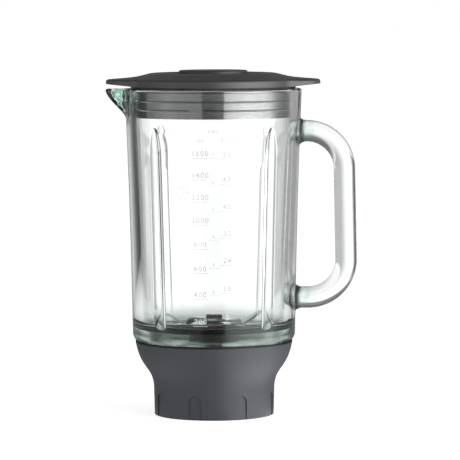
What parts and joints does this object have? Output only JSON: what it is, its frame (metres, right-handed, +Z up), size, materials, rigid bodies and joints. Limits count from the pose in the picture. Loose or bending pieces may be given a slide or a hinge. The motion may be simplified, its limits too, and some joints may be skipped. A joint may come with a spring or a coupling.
{
  "type": "blender jar",
  "caption": "Tall clear glass blender jar with a loop handle and pouring lip, a dark plug lid with grip tabs, and a screw-on base that carries the blades.",
  "frame": {"origin": "middle of the base collar's foot, on the axis of its socket", "axes": "+Z up along the jar's axis, +X towards the handle, -X towards the pouring lip, -Y the front with the scale"},
  "size_m": [0.2003, 0.1412, 0.2754],
  "materials": {
    "clear_glass": "clear pressed glass with a faint green tint where it is thick",
    "lid_plastic": "satin, fine grain",
    "grey_rubber": "smooth, soft sheen",
    "dark_rubber": "matt",
    "collar_plastic": "satin, moulded",
    "carrier_plastic": "satin",
    "red_rubber": "matt",
    "blade_steel": "brushed",
    "plain_steel": "turned",
    "dark_steel": "blackened",
    "bearing_bronze": "sintered",
    "white_plastic": "matt"
  },
  "bodies": {
    "base": {"base_collar": "collar_plastic", "blade_carrier": "carrier_plastic", "carrier_screws": "plain_steel", "shaft_seal": "red_rubber", "upper_bush": "bearing_bronze", "lower_bush": "bearing_bronze"},
    "rotor": {"drive_shaft": "plain_steel", "lower_blade": "blade_steel", "blade_spacer": "dark_steel", "upper_blade": "blade_steel", "blade_nut": "dark_steel", "thrust_washer": "white_plastic", "circlip": "plain_steel", "drive_coupling": "carrier_plastic", "coupling_screw": "plain_steel"},
    "seal_ring": {"jar_seal": "dark_rubber"},
    "jar": {"jar": "clear_glass"},
    "lid": {"lid": "lid_plastic", "lid_seal": "grey_rubber"},
    "cap": {"filler_cap": "lid_plastic"}
  },
  "joints": [
    {"name": "blade_spin", "type": "hinge", "parent": "base", "child": "rotor", "pos_m": [0, 0, 0], "axis": [0, 0, 1], "continuous": true},
    {"name": "jar_turn", "type": "hinge", "parent": "base", "child": "seal_ring", "pos_m": [0, 0, 0], "axis": [0, 0, 1], "range_deg": [0, 270]},
    {"name": "jar_rise", "type": "slide", "parent": "seal_ring", "child": "jar", "axis": [0, 0, 1], "range_m": [0, 0.012]},
    {"name": "lid_lift", "type": "slide", "parent": "jar", "child": "lid", "axis": [0, 0, 1], "range_m": [0, 0.045]},
    {"name": "cap_lift", "type": "slide", "parent": "lid", "child": "cap", "axis": [0, 0, 1], "range_m": [0, 0.03]}
  ],
  "couplings": [
    {"joint": "jar_rise", "follows": "jar_turn", "m_per_rad": 0.0025465}
  ]
}
